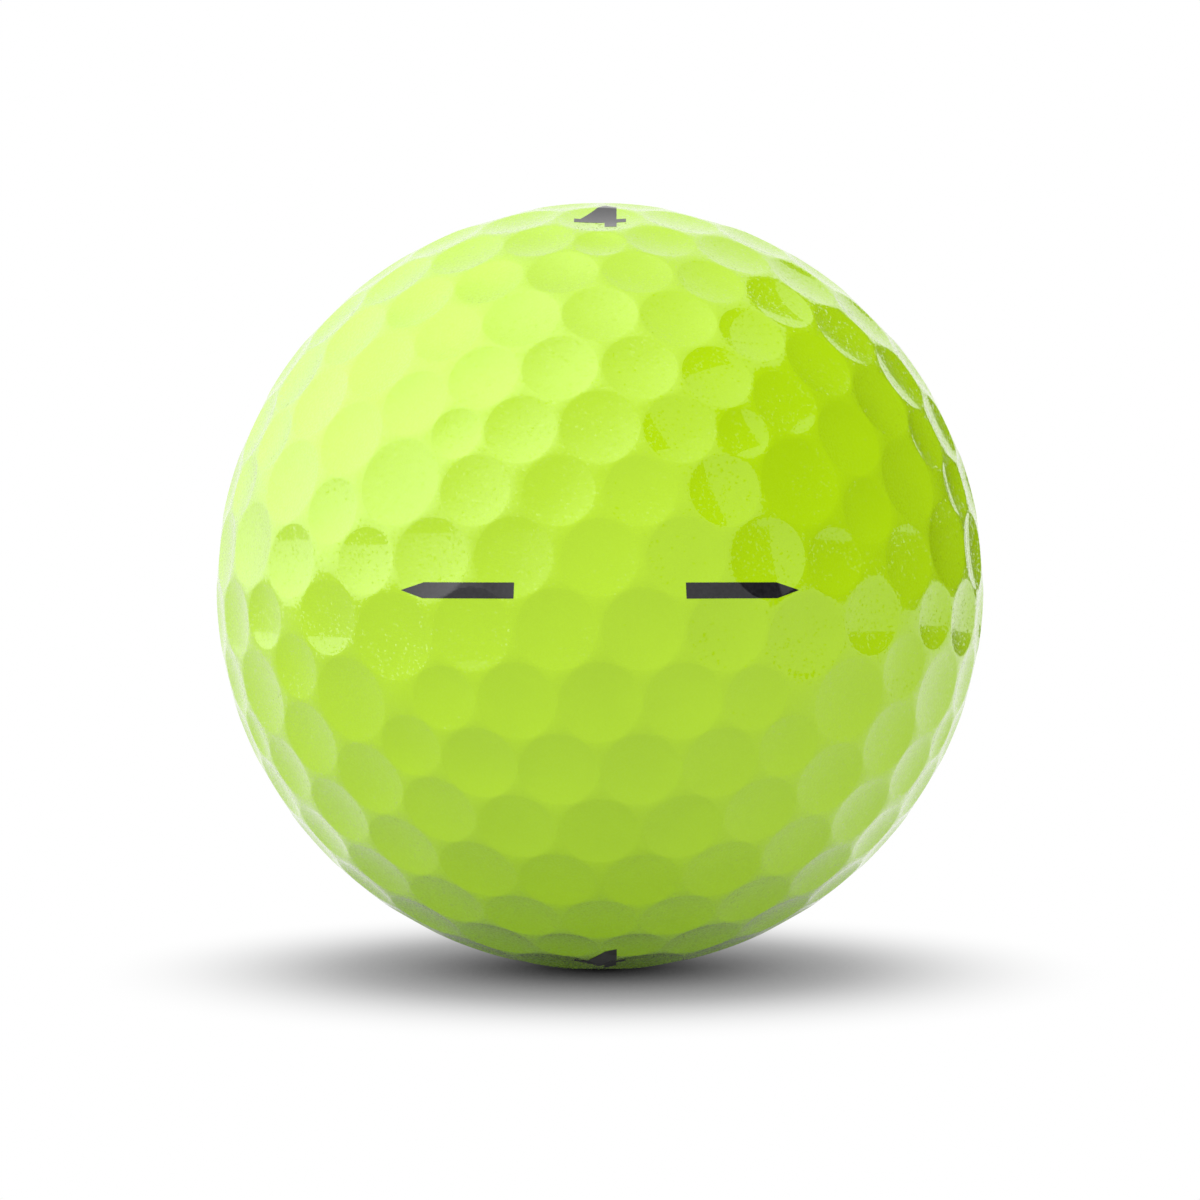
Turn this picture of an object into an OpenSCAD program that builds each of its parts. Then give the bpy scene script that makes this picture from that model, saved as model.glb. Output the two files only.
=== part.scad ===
// Golf ball of three layers: a rubber core, a firm casing and a thin dimpled cover,
// with two pointed alignment bars and a plain play number printed on the cover.
// The ball's centre is the origin. The poles lie on Z and the bars face -Y.

/* [Ball] */
// Diameter over the cover, measured on the lands between the dimples
ball_d = 42.67; // [35:0.01:52]
// Thickness of the cover, from the lands down to the casing
cover_t = 0.76; // [0.6:0.01:1.5]
// Thickness of the casing between the core and the cover
casing_t = 0.89; // [0.5:0.01:2.5]

/* [Dimples] */
// Depth of a dimple below the plane of its rim
dimple_h = 0.15; // [0.1:0.01:0.2]
// Width of the land left where two dimples come closest
land_w = 0.08; // [0.05:0.01:0.3]

/* [Printing] */
// Thickness of the printed ink
ink_t = 0.03; // [0.02:0.01:0.06]
// Width of an alignment bar
bar_w = 0.8; // [0.4:0.1:2]
// Distance from the middle of the side to the blunt end of a bar, as a straight line seen from the front
bar_gap = 4.3; // [2:0.1:6]
// Length of a bar, with its point
bar_l = 5.7; // [3:0.1:7]
// Length of the point of a bar
bar_point = 1.1; // [0.4:0.1:2.4]
// Height of the play number
digit_h = 4.2; // [2:0.1:6]
// Width of the play number
digit_w = 2.8; // [1.5:0.1:4]
// Width of the strokes of the play number
stroke_w = 0.65; // [0.4:0.05:1]
// Distance along the cover from a pole to the middle of the play number in front of it
digit_arc = 7; // [4:0.1:12]

/* [Hidden] */

ball_r = ball_d / 2;
casing_r = ball_r - cover_t;
core_r = casing_r - casing_t;
smooth = 240;
dimple_smooth = 48;
// How far a cutting lens stands past the rim, and past the surface above and below it
spill = 0.02;
lens_slack = 0.1;
// Angle past the end of a print within which the dimples under it are cut
ink_margin = 7;
// Where the upright and the shelf of the figure 4 stand, as shares of its width and height
upright_share = 0.82;
shelf_share = 0.22;

// The dimples repeat with the symmetry of a tetrahedron, so one 24th of the ball holds them all.
// Each row is a latitude, a longitude and the angle that the dimple and its land span, in degrees.
// Dimples inside the patch have 24 copies.
INNER = [
    [-5, 6, 11.6],
    [4.5, 11.5, 11.4],
    [13.5, 5.5, 10.4],
    [-5.5, 17.5, 11.6],
    [-15, 11.5, 11.2],
    [13.5, 17.5, 10.4],
    [4.5, 23.5, 11.4],
    [22.5, 11.5, 10.4],
    [-25, 6, 11.2],
    [-15, 22.5, 9.4],
    [-6.5, 29.5, 12.4],
    [4, 34, 9.6]
];
// Dimples on the patch's middle edge: a latitude and a span. They have 12 copies.
MIDDLE_EDGE = [[22.5, 11.4], [4.5, 10.8], [-15, 11.6]];
// Dimples on its upper and lower edges: a longitude and a span. They have 12 copies.
UPPER_EDGE = [[6.5, 11], [21.5, 7.8], [29.5, 12.6]];
LOWER_EDGE = [[18.5, 11], [41, 10.8]];
// The dimple on the patch's lower corner has 4 copies, one on each corner of a tetrahedron.
CORNER_SPAN = 11.4;

// The first 1, 3 or 6 orders of the axes carry a corner, an edge or an inner dimple round the ball.
CORNER = 1;
EDGE = 3;
INSIDE = 6;
ORDERS = [[0, 1, 2], [1, 2, 0], [2, 0, 1], [1, 0, 2], [0, 2, 1], [2, 1, 0]];
FLIPS = [[1, 1, 1], [1, -1, -1], [-1, 1, -1], [-1, -1, 1]];

// Dimples that stand closer than this angle ease apart, a share of the shortfall at a time.
crowded = 0.2;
ease_share = 0.15;
ease_steps = 6;

function unit(v) = v / norm(v);
function sum(vectors) = [for (v = vectors) 1] * vectors;
function patch_point(lat, lon) = [cos(lat) * cos(45 - lon), cos(lat) * sin(45 - lon), sin(lat)];
function edge_lat(lon) = atan((cos(lon) - sin(lon)) / sqrt(2));
function copies(p, orders) =
    [for (k = [0:orders - 1]) for (f = FLIPS) [for (i = [0:2]) p[ORDERS[k][i]] * f[i]]];

// A seed is a point on the unit sphere, the span of its dimple and its number of axis orders.
SEEDS = concat(
    [for (s = INNER) [patch_point(s[0], s[1]), s[2], INSIDE]],
    [for (s = MIDDLE_EDGE) [patch_point(s[0], 0), s[1], EDGE]],
    [for (s = UPPER_EDGE) [patch_point(edge_lat(s[0]), s[0]), s[1], EDGE]],
    [for (s = LOWER_EDGE) [patch_point(-edge_lat(s[0]), s[0]), s[1], EDGE]],
    [[patch_point(-edge_lat(0), 0), CORNER_SPAN, CORNER]]
);

function spread(seeds) = [for (s = seeds) for (p = copies(s[0], s[2])) [p, s[1]]];
function gap_between(a, b) = acos(a[0] * b[0]) - (a[1] + b[1]) / 2;
function neighbours(s, all) = [for (q = all) if (norm(s[0] - q[0]) > 0.01) q];
function push(s, q) = unit(s[0] * (s[0] * q[0]) - q[0]) * (crowded - gap_between(s, q));
function eased(s, all) =
    let (pushes = [for (q = neighbours(s, all)) if (gap_between(s, q) < crowded) push(s, q)])
    len(pushes) == 0 ? s[0] : unit(s[0] + sum(pushes) * ease_share * PI / 180);
function settled(seeds, steps) =
    steps == 0 ? seeds :
    let (all = spread(seeds))
    settled([for (s = seeds) [eased(s, all), s[1], s[2]]], steps - 1);
// Where two spans still overlap, each dimple gives up half of the overlap on either side.
function trimmed(seeds) =
    let (all = spread(seeds))
    [for (s = seeds)
        let (tightest = min([for (q = neighbours(s, all)) gap_between(s, q)]))
        [s[0], s[1] + min(0, tightest), s[2]]];

// Every dimple on the ball: its direction, and the radius of its rim.
DIMPLES = [for (s = spread(trimmed(settled(SEEDS, ease_steps))))
    let (p = s[0])
    [[(p[0] - p[1]) / sqrt(2), -(p[0] + p[1]) / sqrt(2), p[2]],
     ball_r * sin(s[1] / 2) - land_w / 2]];

// Turns +Z to a direction.
module toward(v) {
    rotate([0, acos(v[2]), atan2(v[1], v[0])]) children();
}

// The lens that cuts one dimple. With a lift it is the same lens, kept that far off the surface.
module dimple_cut(rim_r, lift = 0) {
    rim_z = sqrt(ball_r * ball_r - rim_r * rim_r);
    bowl_r = (rim_r * rim_r + dimple_h * dimple_h) / (2 * dimple_h);
    rise = ball_r - rim_z + lift;
    rotate_extrude($fn = dimple_smooth)
        intersection() {
            translate([0, rim_z - dimple_h + bowl_r])
                circle(r = bowl_r - lift, $fn = 2 * smooth);
            translate([0, rim_z - dimple_h - lens_slack])
                square([rim_r + spill, dimple_h + rise + 2 * lens_slack]);
        }
}

// The cuts of the dimples in one quarter of the ball, right or left and front or back.
module quarter_cuts(side, face) {
    for (d = DIMPLES)
        if ((d[0][0] >= 0) == (side > 0) && (d[0][1] >= 0) == (face > 0))
            toward(d[0]) dimple_cut(d[1]);
}

// The cuts of the dimples near a direction.
module near_cuts(v, reach, lift = 0) {
    for (d = DIMPLES)
        if (d[0] * v > cos(reach))
            toward(d[0]) dimple_cut(d[1], lift);
}

module layer(outer_r, inner_r) {
    difference() {
        sphere(r = outer_r, $fn = smooth);
        sphere(r = inner_r, $fn = smooth);
    }
}

// A coat of ink on the cover near a direction. Its children are the stamp that it is cut out with.
module ink(v, reach) {
    intersection() {
        children();
        difference() {
            difference() {
                sphere(r = ball_r + ink_t, $fn = smooth);
                near_cuts(v, reach, ink_t);
            }
            difference() {
                sphere(r = ball_r, $fn = smooth);
                near_cuts(v, reach);
            }
        }
    }
}

module bar_outline() {
    shoulder = bar_gap + bar_l - bar_point;
    polygon([
        [bar_gap, -bar_w / 2],
        [shoulder, -bar_w / 2],
        [bar_gap + bar_l, 0],
        [shoulder, bar_w / 2],
        [bar_gap, bar_w / 2]
    ]);
}

// A plain figure 4, centred on its own height and width.
module digit_outline() {
    upright_x = digit_w * upright_share;
    shelf_y = digit_h * shelf_share;
    translate([-digit_w / 2, -digit_h / 2]) {
        translate([upright_x - stroke_w, 0]) square([stroke_w, digit_h]);
        translate([0, shelf_y]) square([digit_w, stroke_w]);
        polygon([
            [0, shelf_y],
            [stroke_w, shelf_y],
            [upright_x, digit_h],
            [upright_x - stroke_w, digit_h]
        ]);
    }
}

module core() {
    color("orangered") sphere(r = core_r, $fn = smooth);
}

module casing() {
    color("ivory") layer(casing_r, core_r);
}

// The plain layer lies on its side, so that the end of its own seam falls inside a dimple.
module cover() {
    color("greenyellow")
        difference() {
            rotate([90, 0, 0]) layer(ball_r, casing_r);
            quarter_cuts(1, 1);
            quarter_cuts(1, -1);
            quarter_cuts(-1, 1);
            quarter_cuts(-1, -1);
        }
}

module bar(side) {
    middle = asin((bar_gap + bar_l / 2) / ball_r);
    reach = asin((bar_gap + bar_l) / ball_r) - middle + ink_margin;
    color("darkslategray")
        ink([side * sin(middle), -cos(middle), 0], reach)
            mirror([side > 0 ? 0 : 1, 0, 0])
                rotate([90, 0, 0]) linear_extrude(ball_d) bar_outline();
}

module left_bar() {
    bar(-1);
}

module right_bar() {
    bar(1);
}

// One figure stands in front of each pole, upright when the ball is seen from the front.
module play_number(side) {
    lean = digit_arc / ball_r * 180 / PI;
    v = [0, -sin(lean), side * cos(lean)];
    reach = asin(norm([digit_w, digit_h]) / 2 / ball_r) + ink_margin;
    color("darkslategray")
        ink(v, reach)
            toward(v) rotate([0, 0, 90]) linear_extrude(ball_d) digit_outline();
}

module play_numbers() {
    play_number(1);
    play_number(-1);
}

core();
casing();
cover();
left_bar();
right_bar();
play_numbers();
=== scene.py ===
"""Golf ball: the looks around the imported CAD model. Lengths are in metres."""

import math

import bpy
import numpy as np
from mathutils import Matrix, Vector
from mathutils.geometry import delaunay_2d_cdt


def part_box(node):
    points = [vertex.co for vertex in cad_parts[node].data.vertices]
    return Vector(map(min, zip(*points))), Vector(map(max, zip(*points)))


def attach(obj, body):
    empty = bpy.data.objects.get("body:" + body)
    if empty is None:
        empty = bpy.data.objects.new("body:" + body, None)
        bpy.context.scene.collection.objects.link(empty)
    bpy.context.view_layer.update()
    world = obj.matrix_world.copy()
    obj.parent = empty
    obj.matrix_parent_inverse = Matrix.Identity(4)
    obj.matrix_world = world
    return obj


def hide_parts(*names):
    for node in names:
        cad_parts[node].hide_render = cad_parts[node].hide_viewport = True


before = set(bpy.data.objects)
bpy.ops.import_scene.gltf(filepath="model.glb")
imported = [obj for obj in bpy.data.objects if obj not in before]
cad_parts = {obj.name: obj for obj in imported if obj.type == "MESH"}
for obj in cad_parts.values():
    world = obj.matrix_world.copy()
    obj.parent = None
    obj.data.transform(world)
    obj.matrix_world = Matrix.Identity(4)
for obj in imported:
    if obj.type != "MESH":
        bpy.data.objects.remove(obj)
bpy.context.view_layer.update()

MM = 0.001

# The ball, from the frame: the poles are lands, so the cover's height is the full diameter.
BALL_R = (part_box("cover")[1].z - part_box("cover")[0].z) / 2

# Dimples, as in part.scad: a bowl of this depth below its rim, with this much land between rims.
DIMPLE_H = 0.15 * MM
LAND_W = 0.08 * MM
# The clear coat rounds each rim over this height, and each print stands this far proud.
RIM_ROUND = 0.014 * MM
INK_T = 0.012 * MM


# ---------------------------------------------------------------- dimple layout

# The pattern has the symmetry of a tetrahedron, so one 24th of the ball holds it. Each row is a
# latitude, a longitude and the span of a dimple and its land, in degrees.
INNER = [
    (-5, 6, 11.6), (4.5, 11.5, 11.4), (13.5, 5.5, 10.4), (-5.5, 17.5, 11.6),
    (-15, 11.5, 11.2), (13.5, 17.5, 10.4), (4.5, 23.5, 11.4), (22.5, 11.5, 10.4),
    (-25, 6, 11.2), (-15, 22.5, 9.4), (-6.5, 29.5, 12.4), (4, 34, 9.6),
]
MIDDLE_EDGE = [(22.5, 11.4), (4.5, 10.8), (-15, 11.6)]
UPPER_EDGE = [(6.5, 11), (21.5, 7.8), (29.5, 12.6)]
LOWER_EDGE = [(18.5, 11), (41, 10.8)]
CORNER_SPAN = 11.4

CORNER, EDGE, INSIDE = 1, 3, 6
ORDERS = [(0, 1, 2), (1, 2, 0), (2, 0, 1), (1, 0, 2), (0, 2, 1), (2, 1, 0)]
FLIPS = [(1, 1, 1), (1, -1, -1), (-1, 1, -1), (-1, -1, 1)]
CROWDED = 0.2
EASE_SHARE = 0.15
EASE_STEPS = 6
SAME_POINT = 0.01


def unit(v):
    return v / np.linalg.norm(v, axis=-1, keepdims=True)


def patch_point(lat, lon):
    lat, turn = math.radians(lat), math.radians(45 - lon)
    return np.array([math.cos(lat) * math.cos(turn), math.cos(lat) * math.sin(turn), math.sin(lat)])


def edge_lat(lon):
    lon = math.radians(lon)
    return math.degrees(math.atan((math.cos(lon) - math.sin(lon)) / math.sqrt(2)))


def seeds():
    rows = [(patch_point(lat, lon), span, INSIDE) for lat, lon, span in INNER]
    rows += [(patch_point(lat, 0), span, EDGE) for lat, span in MIDDLE_EDGE]
    rows += [(patch_point(edge_lat(lon), lon), span, EDGE) for lon, span in UPPER_EDGE]
    rows += [(patch_point(-edge_lat(lon), lon), span, EDGE) for lon, span in LOWER_EDGE]
    rows += [(patch_point(-edge_lat(0), 0), CORNER_SPAN, CORNER)]
    return rows


def spread(rows):
    """Every copy of every seed round the ball: points and spans."""
    points, spans = [], []
    for point, span, orders in rows:
        for order in ORDERS[:orders]:
            for flip in FLIPS:
                points.append(point[list(order)] * flip)
                spans.append(span)
    return np.array(points), np.array(spans)


def gaps(point, span, points, spans):
    """The angles between one dimple and the others, its own copy left out."""
    other = np.linalg.norm(points - point, axis=1) > SAME_POINT
    away = np.degrees(np.arccos(np.clip(points[other] @ point, -1, 1)))
    return points[other], away - (span + spans[other]) / 2


def eased(point, span, points, spans):
    """The point, pushed off neighbours that crowd it."""
    others, gap = gaps(point, span, points, spans)
    near = gap < CROWDED
    if not near.any():
        return point
    push = unit(point * (others[near] @ point)[:, None] - others[near])
    push *= (CROWDED - gap[near])[:, None]
    return unit(point + push.sum(0) * math.radians(EASE_SHARE))


def dimples():
    """Directions and rim radii of all the dimples, in the ball's frame."""
    rows = seeds()
    for _ in range(EASE_STEPS):
        points, spans = spread(rows)
        rows = [(eased(p, s, points, spans), s, orders) for p, s, orders in rows]
    points, spans = spread(rows)
    trimmed = []
    for p, s, orders in rows:
        tightest = gaps(p, s, points, spans)[1].min()
        trimmed.append((p, s + min(0.0, tightest), orders))
    points, spans = spread(trimmed)
    x, y, z = points.T
    directions = np.stack([(x - y) / math.sqrt(2), -(x + y) / math.sqrt(2), z], axis=1)
    return directions, BALL_R * np.sin(np.radians(spans / 2)) - LAND_W / 2


# ---------------------------------------------------------------- cover surface

# Each dimple's mesh is rings of points round its direction: an inner ring, rings at shares of the
# rim's angle, and closer rings over the rounded rim, at these distances from it.
SEGMENTS = 36
INNER_SEGMENTS = 18
INNER_RING = 0.32
BOWL_RINGS = [0.62, 0.84]
RIM_RINGS = [-0.075 * MM, -0.032 * MM, -0.004 * MM, 0.022 * MM]
NEAR_COUNT = 8
# A dimple dips the surface only where the cosine of the angle from its middle is above this.
SAME_SIDE = 0.9
# The turn, in radians, over which the slope of the surface is measured.
SLOPE_STEP = 1e-4
# Past this height a direction is too near a pole to be compared with the Z axis.
STEEP = 0.9


def tangents(v):
    """Two directions square to each v and to each other."""
    helper = np.where(np.abs(v[..., 2:]) < STEEP, [0.0, 0.0, 1.0], [1.0, 0.0, 0.0])
    east = unit(np.cross(helper, v))
    return east, np.cross(v, east)


class Cover:
    """The dimpled surface: how far it lies below the plain sphere in any direction."""

    def __init__(self):
        self.axes, self.rims = dimples()
        rim_z = np.sqrt(BALL_R**2 - self.rims**2)
        self.bowl_r = (self.rims**2 + DIMPLE_H**2) / (2 * DIMPLE_H)
        self.bowl_z = rim_z - DIMPLE_H + self.bowl_r
        order = np.argsort(-(self.axes @ self.axes.T), axis=1)
        self.near = order[:, :NEAR_COUNT]

    def depth(self, v, owner):
        """Depth below the plain sphere along unit directions v, each near dimple owner."""
        total = np.zeros(len(v))
        for k in range(NEAR_COUNT):
            j = self.near[owner, k]
            toward = np.einsum("ij,ij->i", v, self.axes[j])
            aside2 = np.maximum(0, 1 - toward**2) * self.bowl_z[j] ** 2
            reach = toward * self.bowl_z[j] - np.sqrt(np.maximum(0, self.bowl_r[j] ** 2 - aside2))
            dip = np.where(toward > SAME_SIDE, BALL_R - reach, -BALL_R)
            blend = np.clip(dip + RIM_ROUND, 0, 2 * RIM_ROUND) ** 2 / (4 * RIM_ROUND)
            total += np.where(dip > RIM_ROUND, dip, blend)
        return total

    def place(self, v, owner, lift=0.0):
        """Points on the surface, and its normals, along unit directions v."""
        east, north = tangents(v)
        radius = BALL_R - self.depth(v, owner)
        normal = v * radius[:, None]
        for along in (east, north):
            ahead = BALL_R - self.depth(unit(v + SLOPE_STEP * along), owner)
            behind = BALL_R - self.depth(unit(v - SLOPE_STEP * along), owner)
            normal -= along * ((ahead - behind) / (2 * SLOPE_STEP))[:, None]
        normal = unit(normal)
        return v * radius[:, None] + normal * lift, normal

    def ring_points(self):
        """Directions of all the mesh points, and the dimple that each belongs to."""
        east, north = tangents(self.axes)
        rim = np.arcsin(self.rims / BALL_R)
        rings = [(rim * INNER_RING, INNER_SEGMENTS)]
        rings += [(rim * share, SEGMENTS) for share in BOWL_RINGS]
        rings += [(rim + aside / BALL_R, SEGMENTS) for aside in RIM_RINGS]
        points, owners = [self.axes], [np.arange(len(self.axes))]
        for number, (angle, segments) in enumerate(rings):
            # Every other ring is turned by half a segment, so that its points alternate.
            start = (number % 2) * math.pi / segments
            for t in start + np.arange(segments) * 2 * math.pi / segments:
                side = east * math.cos(t) + north * math.sin(t)
                points.append(self.axes * np.cos(angle)[:, None] + side * np.sin(angle)[:, None])
                owners.append(np.arange(len(self.axes)))
        return np.concatenate(points), np.concatenate(owners)


def sphere_triangles(points):
    """Joins points on the unit sphere into triangles, on a flat map seen from the upper pole.

    The last point is that pole, for which the map has no place. The map shows the sphere from
    inside, so each triangle is reversed to face outward."""
    inner = points[:-1]
    flat = inner[:, :2] / (1 - inner[:, 2:])
    made = delaunay_2d_cdt([Vector(p) for p in flat], [], [], 0, 0.0)
    order = [ids[0] for ids in made[3]]
    faces = [[order[i] for i in reversed(face)] for face in made[2]]
    edges = {(a, b) for f in faces for a, b in zip(f, f[1:] + f[:1])}
    border = [(a, b) for a, b in edges if (b, a) not in edges]
    pole = len(points) - 1
    return faces + [[b, a, pole] for a, b in border]


def mesh_object(name, points, faces, normals):
    mesh = bpy.data.meshes.new(name)
    mesh.from_pydata(points.tolist(), [], faces)
    mesh.update()
    mesh.polygons.foreach_set("use_smooth", [True] * len(mesh.polygons))
    mesh.normals_split_custom_set_from_vertices(normals.tolist())
    piece = bpy.data.objects.new(name, mesh)
    bpy.context.scene.collection.objects.link(piece)
    return piece


def make_cover(cover):
    points, owners = cover.ring_points()
    pole = np.array([[0.0, 0.0, 1.0]])
    points = np.concatenate([points, pole])
    owners = np.append(owners, np.argmax(cover.axes[:, 2]))
    placed, normals = cover.place(points, owners)
    return mesh_object("cover_skin", placed, sphere_triangles(points), normals)


# ---------------------------------------------------------------- prints

# The prints, as in part.scad: two pointed bars on the equator and a plain figure 4 by each pole.
BAR_W = 0.8 * MM
BAR_GAP = 4.3 * MM
BAR_L = 5.7 * MM
BAR_POINT = 1.1 * MM
DIGIT_H = 4.2 * MM
DIGIT_W = 2.8 * MM
STROKE_W = 0.65 * MM
DIGIT_ARC = 7 * MM
UPRIGHT_SHARE = 0.82
SHELF_SHARE = 0.22
# Each is meshed with a grid this fine, and its underside lies this far below the cover.
PRINT_GRID = 0.12 * MM
PRINT_SINK = 0.02 * MM
# Points of an outline nearer than this, in millimetres, are one point.
PRINT_MERGE = 1e-4


def bar_outline(side):
    shoulder = BAR_GAP + BAR_L - BAR_POINT
    outline = [
        (BAR_GAP, -BAR_W / 2), (shoulder, -BAR_W / 2), (BAR_GAP + BAR_L, 0),
        (shoulder, BAR_W / 2), (BAR_GAP, BAR_W / 2),
    ]
    return [[(side * x, y) for x, y in outline][::side]]


def digit_outlines():
    x, y = DIGIT_W * UPRIGHT_SHARE - DIGIT_W / 2, DIGIT_H * SHELF_SHARE - DIGIT_H / 2
    half_w, half_h, w = DIGIT_W / 2, DIGIT_H / 2, STROKE_W
    upright = [(x - w, -half_h), (x, -half_h), (x, half_h), (x - w, half_h)]
    shelf = [(-half_w, y), (half_w, y), (half_w, y + w), (-half_w, y + w)]
    slope = [(-half_w, y), (w - half_w, y), (x, half_h), (x - w, half_h)]
    return [upright, shelf, slope]


def filled(outlines):
    """Points and triangles that fill the outlines, with a fine grid inside."""
    corners, rings = [], []
    for outline in outlines:
        ring = []
        for (ax, ay), (bx, by) in zip(outline, outline[1:] + outline[:1]):
            steps = max(1, round(math.hypot(bx - ax, by - ay) / PRINT_GRID))
            for i in range(steps):
                ring.append(len(corners))
                corners.append((ax + (bx - ax) * i / steps, ay + (by - ay) * i / steps))
        rings.append(ring)
    spots = np.array(corners)
    low, high = spots.min(0), spots.max(0)
    grid = [
        (x, y)
        for x in np.arange(low[0] + PRINT_GRID / 2, high[0], PRINT_GRID)
        for y in np.arange(low[1] + PRINT_GRID / 2, high[1], PRINT_GRID)
    ]
    scaled = [Vector((x / MM, y / MM)) for x, y in corners + grid]
    made = delaunay_2d_cdt(scaled, [], rings, 1, PRINT_MERGE)
    return np.array([tuple(p) for p in made[0]]) * MM, [list(face) for face in made[2]]


def make_print(name, cover, outlines, facing, upward):
    """A thin coat of ink: the outlines seen along facing, laid on the cover."""
    flat, faces = filled(outlines)
    facing, upward = np.array(facing), np.array(upward)
    right = np.cross(upward, facing)
    aside = flat[:, :1] * right + flat[:, 1:] * upward
    height = np.sqrt(BALL_R**2 - (aside**2).sum(1))
    points = unit(aside + facing * height[:, None])
    owners = np.argmax(points @ cover.axes.T, axis=1)
    top, normals = cover.place(points, owners, INK_T)
    base = cover.place(points, owners, -PRINT_SINK)[0]
    count = len(top)
    edges = {(a, b) for f in faces for a, b in zip(f, f[1:] + f[:1])}
    rim = [(a, b) for a, b in edges if (b, a) not in edges]
    walls = [[b, a, a + count, b + count] for a, b in rim]
    under = [[i + count for i in reversed(face)] for face in faces]
    return mesh_object(
        name,
        np.concatenate([top, base]),
        faces + under + walls,
        np.concatenate([normals, -normals]),
    )


def make_prints(cover):
    front, up = (0, -1, 0), (0, 0, 1)
    lean = DIGIT_ARC / BALL_R
    pieces = [
        make_print("left_bar_ink", cover, bar_outline(-1), front, up),
        make_print("right_bar_ink", cover, bar_outline(1), front, up),
    ]
    for name, side in (("upper_number_ink", 1), ("lower_number_ink", -1)):
        facing = (0, -math.sin(lean), side * math.cos(lean))
        upward = (0, side * math.cos(lean), math.sin(lean))
        pieces.append(make_print(name, cover, digit_outlines(), facing, upward))
    return pieces


# ---------------------------------------------------------------- materials

# The clear coat on the cover and the ink: a faint orange peel, in cells per metre and height.
PEEL_SCALE = 2600
PEEL_HEIGHT = 0.0004 * MM
# Grains in the cover's coat: their size, how far they tilt and the share of them that does.
FLAKE_SIZE = 0.09 * MM
FLAKE_TILT = 0.2
FLAKE_SHARE = 0.25


def new_material(name):
    material = bpy.data.materials.new(name)
    material.use_nodes = True
    nodes = material.node_tree.nodes
    return material, nodes, material.node_tree.links, nodes["Principled BSDF"]


def noise(nodes, links, scale, detail=2.0, roughness=0.5):
    """A noise texture in the object's own space, with scale in cells per metre."""
    place = nodes.new("ShaderNodeTexCoord")
    texture = nodes.new("ShaderNodeTexNoise")
    texture.inputs["Scale"].default_value = scale
    texture.inputs["Detail"].default_value = detail
    texture.inputs["Roughness"].default_value = roughness
    links.new(place.outputs["Object"], texture.inputs["Vector"])
    return texture.outputs["Fac"]


def ramp(nodes, links, value, stops):
    """Maps a value to colours between the given (position, colour) stops."""
    node = nodes.new("ShaderNodeValToRGB")
    points = node.color_ramp.elements
    while len(points) < len(stops):
        points.new(0.5)
    for point, (position, colour) in zip(points, stops):
        point.position = position
        point.color = (*colour, 1.0)
    links.new(value, node.inputs["Fac"])
    return node.outputs["Color"]


def between(nodes, links, value, low, high):
    """Maps a value from 0..1 to low..high."""
    node = nodes.new("ShaderNodeMapRange")
    node.inputs["To Min"].default_value = low
    node.inputs["To Max"].default_value = high
    links.new(value, node.inputs["Value"])
    return node.outputs["Result"]


def bump(nodes, links, value, height, normal=None):
    node = nodes.new("ShaderNodeBump")
    node.inputs["Distance"].default_value = height
    links.new(value, node.inputs["Height"])
    if normal:
        links.new(normal, node.inputs["Normal"])
    return node.outputs["Normal"]


def math_node(nodes, links, operation, first, second):
    node = nodes.new("ShaderNodeMath")
    node.operation = operation
    for socket, value in zip(node.inputs, (first, second)):
        if isinstance(value, (int, float)):
            socket.default_value = value
        else:
            links.new(value, socket)
    return node.outputs["Value"]


def smooth_step(nodes, links, value, start, end, low, high):
    node = nodes.new("ShaderNodeMapRange")
    node.interpolation_type = "SMOOTHSTEP"
    for name, number in (("From Min", start), ("From Max", end), ("To Min", low), ("To Max", high)):
        node.inputs[name].default_value = number
    links.new(value, node.inputs["Value"])
    return node.outputs["Result"]


def flakes(nodes, links):
    """The surface normal, turned its own way in some of the small grains and plain in the rest."""
    place = nodes.new("ShaderNodeTexCoord")
    cells = nodes.new("ShaderNodeTexVoronoi")
    cells.inputs["Scale"].default_value = 1 / FLAKE_SIZE
    links.new(place.outputs["Object"], cells.inputs["Vector"])
    centred = nodes.new("ShaderNodeVectorMath")
    centred.operation = "SUBTRACT"
    centred.inputs[1].default_value = (0.5, 0.5, 0.5)
    links.new(cells.outputs["Color"], centred.inputs[0])
    rare = nodes.new("ShaderNodeTexWhiteNoise")
    links.new(cells.outputs["Position"], rare.inputs["Vector"])
    chosen = math_node(nodes, links, "LESS_THAN", rare.outputs["Value"], FLAKE_SHARE)
    scaled = nodes.new("ShaderNodeVectorMath")
    scaled.operation = "SCALE"
    links.new(math_node(nodes, links, "MULTIPLY", chosen, 2 * FLAKE_TILT), scaled.inputs["Scale"])
    links.new(centred.outputs["Vector"], scaled.inputs[0])
    surface = nodes.new("ShaderNodeNewGeometry")
    turned = nodes.new("ShaderNodeVectorMath")
    links.new(surface.outputs["Normal"], turned.inputs[0])
    links.new(scaled.outputs["Vector"], turned.inputs[1])
    even = nodes.new("ShaderNodeVectorMath")
    even.operation = "NORMALIZE"
    links.new(turned.outputs["Vector"], even.inputs[0])
    return even.outputs["Vector"]


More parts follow.
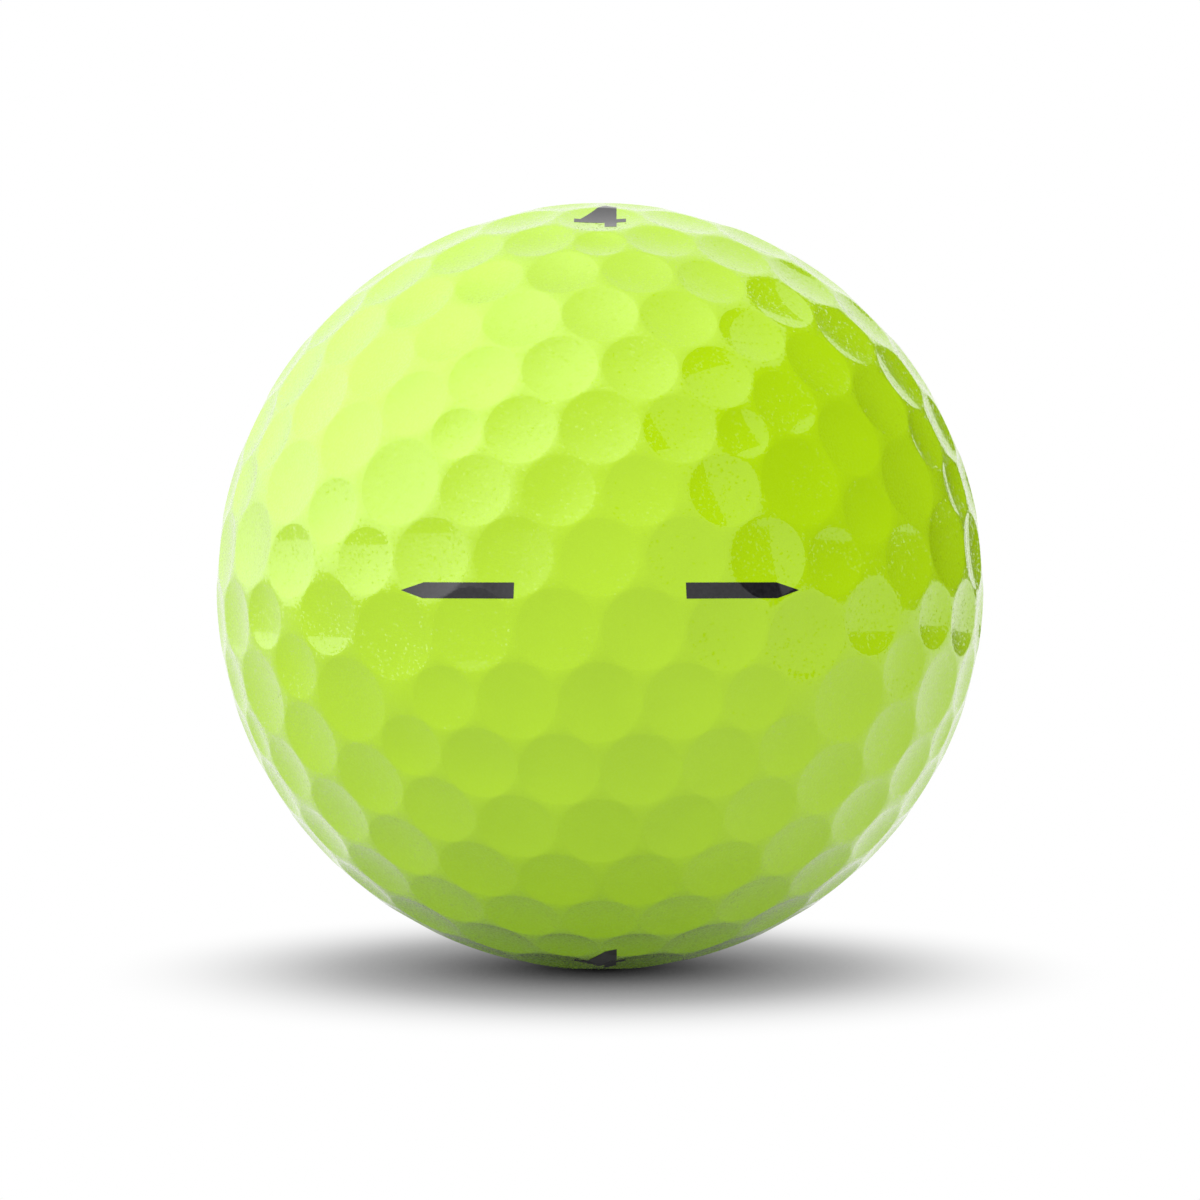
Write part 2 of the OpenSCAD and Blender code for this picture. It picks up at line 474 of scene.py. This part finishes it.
def cover_material():
    """Yellow-green urethane with a fine grain, under a gloss clear coat with a faint orange peel."""
    material, nodes, links, shader = new_material("cover_urethane_finish")
    cloud = noise(nodes, links, 160, 3)
    base = ramp(nodes, links, cloud, [(0.35, (0.505, 0.82, 0.0)), (0.65, (0.53, 0.86, 0.0))])
    links.new(base, shader.inputs["Base Color"])
    grain = noise(nodes, links, 7000)
    links.new(between(nodes, links, grain, 0.2, 0.34), shader.inputs["Roughness"])
    shader.inputs["Specular IOR Level"].default_value = 0.1
    shader.inputs["Coat Weight"].default_value = 0.95
    shader.inputs["Coat Roughness"].default_value = 0.03
    shader.inputs["Coat IOR"].default_value = 1.5
    peel = bump(nodes, links, noise(nodes, links, PEEL_SCALE), PEEL_HEIGHT, flakes(nodes, links))
    links.new(peel, shader.inputs["Coat Normal"])
    return material


def ink_material():
    """Charcoal pad print, a little uneven, under the same clear coat."""
    material, nodes, links, shader = new_material("ink_finish")
    blot = noise(nodes, links, 5000, 4)
    tone = ramp(nodes, links, blot, [(0.3, (0.010, 0.009, 0.011)), (0.75, (0.024, 0.022, 0.026))])
    links.new(tone, shader.inputs["Base Color"])
    links.new(between(nodes, links, blot, 0.25, 0.45), shader.inputs["Roughness"])
    shader.inputs["Specular IOR Level"].default_value = 0.1
    shader.inputs["Coat Weight"].default_value = 0.7
    shader.inputs["Coat Roughness"].default_value = 0.05
    peel = bump(nodes, links, noise(nodes, links, PEEL_SCALE), PEEL_HEIGHT)
    links.new(peel, shader.inputs["Coat Normal"])
    return material


def rubber_material():
    """Moulded core rubber: an orange blend with darker flecks of regrind."""
    material, nodes, links, shader = new_material("core_rubber_finish")
    flecks = noise(nodes, links, 1800, 4, 0.7)
    tone = ramp(nodes, links, flecks, [(0.35, (0.30, 0.06, 0.012)), (0.6, (0.70, 0.15, 0.03))])
    links.new(tone, shader.inputs["Base Color"])
    links.new(between(nodes, links, flecks, 0.55, 0.8), shader.inputs["Roughness"])
    links.new(bump(nodes, links, flecks, 0.02 * MM), shader.inputs["Normal"])
    return material


def ionomer_material():
    """Moulded casing: milky, slightly waxy ionomer."""
    material, nodes, links, shader = new_material("casing_ionomer_finish")
    haze = noise(nodes, links, 220, 3)
    tone = ramp(nodes, links, haze, [(0.3, (0.72, 0.72, 0.64)), (0.7, (0.82, 0.82, 0.76))])
    links.new(tone, shader.inputs["Base Color"])
    links.new(between(nodes, links, haze, 0.3, 0.45), shader.inputs["Roughness"])
    links.new(bump(nodes, links, noise(nodes, links, 4000), 0.004 * MM), shader.inputs["Normal"])
    return material


# ---------------------------------------------------------------- stage, camera and light

# The camera stands this many ball radii from the centre, a little above it, and aims a little
# below it. The lens gives the picture its size.
CAMERA_DISTANCE = 8.62
CAMERA_RISE = 0.545
CAMERA_PITCH = 0.78
SENSOR = 36.0
LENS = 98.5
# The camera sees what lies between these distances.
CLIP = (0.01, 10)

FLOOR_SIZE = 3.0
FLOOR_WHITE = 0.75
# The shadow is found by looking this far for the ball, in ball radii, along this many rays.
SHADOW_REACH = 20
SHADOW_SAMPLES = 32
# Seen by the camera, the shadow on the floor fades to plain white between these ball radii.
SHADOW_FADE = (0.6, 1.35)

# Light from all round, and a soft lamp from the upper left that falls on the ball alone.
DOME = 0.88
LAMP_TURN, LAMP_RISE = -50, 42
LAMP_DISTANCE = 0.6
LAMP_SIZE = 0.4
LAMP_POWER = 1.0
# What the gloss reflects: white all round, and two broad soft lights on the left and overhead.
# Each is a turn from the camera's side, a rise, the reach of its fade in degrees and a strength.
GLOSS_LIGHTS = [(-82, 26, 72, 3.0), (-45, 68, 48, 1.8)]
# A dark screen to the right of the camera, from one turn to another, reflected by the gloss alone.
# Its top stands this many degrees further round towards the camera's side.
SCREEN_FROM, SCREEN_TO = 48, 150
SCREEN_LEAN = 9
SCREEN_DISTANCE = 0.5
SCREEN_TOP = 52
SCREEN_STEPS = 24


def direction(turn, rise):
    """The way out from the ball at a turn to the right of the camera's side and a rise, in degrees."""
    turn, rise = math.radians(turn), math.radians(rise)
    level = math.cos(rise)
    return Vector((math.sin(turn) * level, -math.cos(turn) * level, math.sin(rise)))


def make_floor():
    """A white table top. The camera and the gloss see plain white, with the ball's shadow."""
    half = FLOOR_SIZE / 2
    corners = [(-half, -half), (half, -half), (half, half), (-half, half)]
    mesh = bpy.data.meshes.new("floor")
    mesh.from_pydata([(x, y, -BALL_R) for x, y in corners], [], [(0, 1, 2, 3)])
    floor = bpy.data.objects.new("floor", mesh)
    bpy.context.scene.collection.objects.link(floor)
    material, nodes, links, shader = new_material("floor_white")
    nodes.remove(shader)
    plain = nodes.new("ShaderNodeBsdfDiffuse")
    plain.inputs["Color"].default_value = (FLOOR_WHITE, FLOOR_WHITE, FLOOR_WHITE, 1)
    shade = nodes.new("ShaderNodeAmbientOcclusion")
    shade.samples = SHADOW_SAMPLES
    shade.inputs["Distance"].default_value = SHADOW_REACH * BALL_R
    place = nodes.new("ShaderNodeTexCoord")
    level = nodes.new("ShaderNodeVectorMath")
    level.operation = "MULTIPLY"
    level.inputs[1].default_value = (1, 1, 0)
    links.new(place.outputs["Object"], level.inputs[0])
    away = nodes.new("ShaderNodeVectorMath")
    away.operation = "LENGTH"
    links.new(level.outputs["Vector"], away.inputs[0])
    near, far = (share * BALL_R for share in SHADOW_FADE)
    kept = smooth_step(nodes, links, away.outputs["Value"], near, far, 1.0, 0.0)
    dark = math_node(nodes, links, "SUBTRACT", 1.0, shade.outputs["AO"])
    light = math_node(nodes, links, "SUBTRACT", 1.0, math_node(nodes, links, "MULTIPLY", dark, kept))
    seen = nodes.new("ShaderNodeEmission")
    links.new(light, seen.inputs["Strength"])
    mix = nodes.new("ShaderNodeMixShader")
    path = nodes.new("ShaderNodeLightPath")
    rays = path.outputs["Is Camera Ray"], path.outputs["Is Glossy Ray"]
    links.new(math_node(nodes, links, "MAXIMUM", *rays), mix.inputs["Fac"])
    links.new(plain.outputs["BSDF"], mix.inputs[1])
    links.new(seen.outputs["Emission"], mix.inputs[2])
    links.new(mix.outputs["Shader"], nodes["Material Output"].inputs["Surface"])
    mesh.materials.append(material)


def make_world():
    """White round the camera's view, an even dome of light, and broad soft lights in the gloss."""
    world = bpy.data.worlds.new("studio")
    bpy.context.scene.world = world
    world.use_nodes = True
    nodes, links = world.node_tree.nodes, world.node_tree.links
    place = nodes.new("ShaderNodeTexCoord")
    total = 1.0
    for turn, rise, reach, strength in GLOSS_LIGHTS:
        toward = nodes.new("ShaderNodeVectorMath")
        toward.operation = "DOT_PRODUCT"
        toward.inputs[1].default_value = direction(turn, rise)
        links.new(place.outputs["Generated"], toward.inputs[0])
        angle = math_node(nodes, links, "ARCCOSINE", toward.outputs["Value"], 0.0)
        lobe = smooth_step(nodes, links, angle, 0.0, math.radians(reach), strength, 0.0)
        total = math_node(nodes, links, "ADD", total, lobe)
    path = nodes.new("ShaderNodeLightPath")
    backgrounds = {}
    for name, strength in (("dome", DOME), ("gloss", total), ("seen", 1.0)):
        node = nodes.new("ShaderNodeBackground")
        node.inputs["Color"].default_value = (1, 1, 1, 1)
        if isinstance(strength, float):
            node.inputs["Strength"].default_value = strength
        else:
            links.new(strength, node.inputs["Strength"])
        backgrounds[name] = node.outputs["Background"]
    shader = backgrounds["dome"]
    for ray, name in (("Is Glossy Ray", "gloss"), ("Is Camera Ray", "seen")):
        mix = nodes.new("ShaderNodeMixShader")
        links.new(path.outputs[ray], mix.inputs["Fac"])
        links.new(shader, mix.inputs[1])
        links.new(backgrounds[name], mix.inputs[2])
        shader = mix.outputs["Shader"]
    links.new(shader, nodes["World Output"].inputs["Surface"])


def make_screen():
    """The dark screen. Only reflections show it."""
    mesh = bpy.data.meshes.new("dark_screen")
    points = []
    for i in range(SCREEN_STEPS + 1):
        turn = SCREEN_FROM + (SCREEN_TO - SCREEN_FROM) * i / SCREEN_STEPS
        foot = direction(turn, 0) * SCREEN_DISTANCE
        head = direction(turn - SCREEN_LEAN, SCREEN_TOP) * SCREEN_DISTANCE
        points += [(foot.x, foot.y, -BALL_R), tuple(head)]
    faces = [(i, i + 1, i + 3, i + 2) for i in range(0, 2 * SCREEN_STEPS, 2)]
    mesh.from_pydata(points, [], faces)
    screen = bpy.data.objects.new("dark_screen", mesh)
    bpy.context.scene.collection.objects.link(screen)
    screen.visible_camera = False
    screen.visible_diffuse = False
    screen.visible_shadow = False
    material, _, _, shader = new_material("screen_black")
    shader.inputs["Base Color"].default_value = (0, 0, 0, 1)
    shader.inputs["Specular IOR Level"].default_value = 0
    mesh.materials.append(material)


def make_lamp(lit):
    """The soft lamp. It lights the pieces in lit, and the gloss doesn't show it."""
    light = bpy.data.lights.new("soft_lamp", "AREA")
    light.shape = "SQUARE"
    light.size, light.energy = LAMP_SIZE, LAMP_POWER
    lamp = bpy.data.objects.new("soft_lamp", light)
    lamp.location = direction(LAMP_TURN, LAMP_RISE) * LAMP_DISTANCE
    lamp.rotation_euler = (-lamp.location).to_track_quat("-Z", "Y").to_euler()
    lamp.visible_glossy = False
    lamp.visible_camera = False
    bpy.context.scene.collection.objects.link(lamp)
    receivers = bpy.data.collections.new("lit_by_lamp")
    for piece in lit:
        receivers.objects.link(piece)
    lamp.light_linking.receiver_collection = receivers


def make_camera():
    rise, pitch = math.radians(CAMERA_RISE), math.radians(CAMERA_PITCH)
    data = bpy.data.cameras.new("camera")
    data.sensor_width, data.lens = SENSOR, LENS
    data.clip_start, data.clip_end = CLIP
    camera = bpy.data.objects.new("camera", data)
    away = CAMERA_DISTANCE * BALL_R
    camera.location = (0, -away * math.cos(rise), away * math.sin(rise))
    camera.rotation_euler = (math.pi / 2 - pitch, 0, 0)
    bpy.context.scene.collection.objects.link(camera)
    bpy.context.scene.camera = camera


# ---------------------------------------------------------------- build

bpy.context.scene.view_settings.view_transform = "Standard"

surface = Cover()
ink = ink_material()
skin = make_cover(surface)
skin.data.materials.append(cover_material())
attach(skin, "root")
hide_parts("cover")

replaced = {
    "left_bar_ink": "left_bar",
    "right_bar_ink": "right_bar",
    "upper_number_ink": "play_numbers",
    "lower_number_ink": "play_numbers",
}
prints = make_prints(surface)
for piece in prints:
    piece.data.materials.append(ink)
    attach(piece, "root")
    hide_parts(replaced[piece.name])

for node, material in (("core", rubber_material()), ("casing", ionomer_material())):
    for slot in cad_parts[node].material_slots:
        slot.material = material

make_floor()
make_world()
make_screen()
make_lamp([skin, *prints])
make_camera()
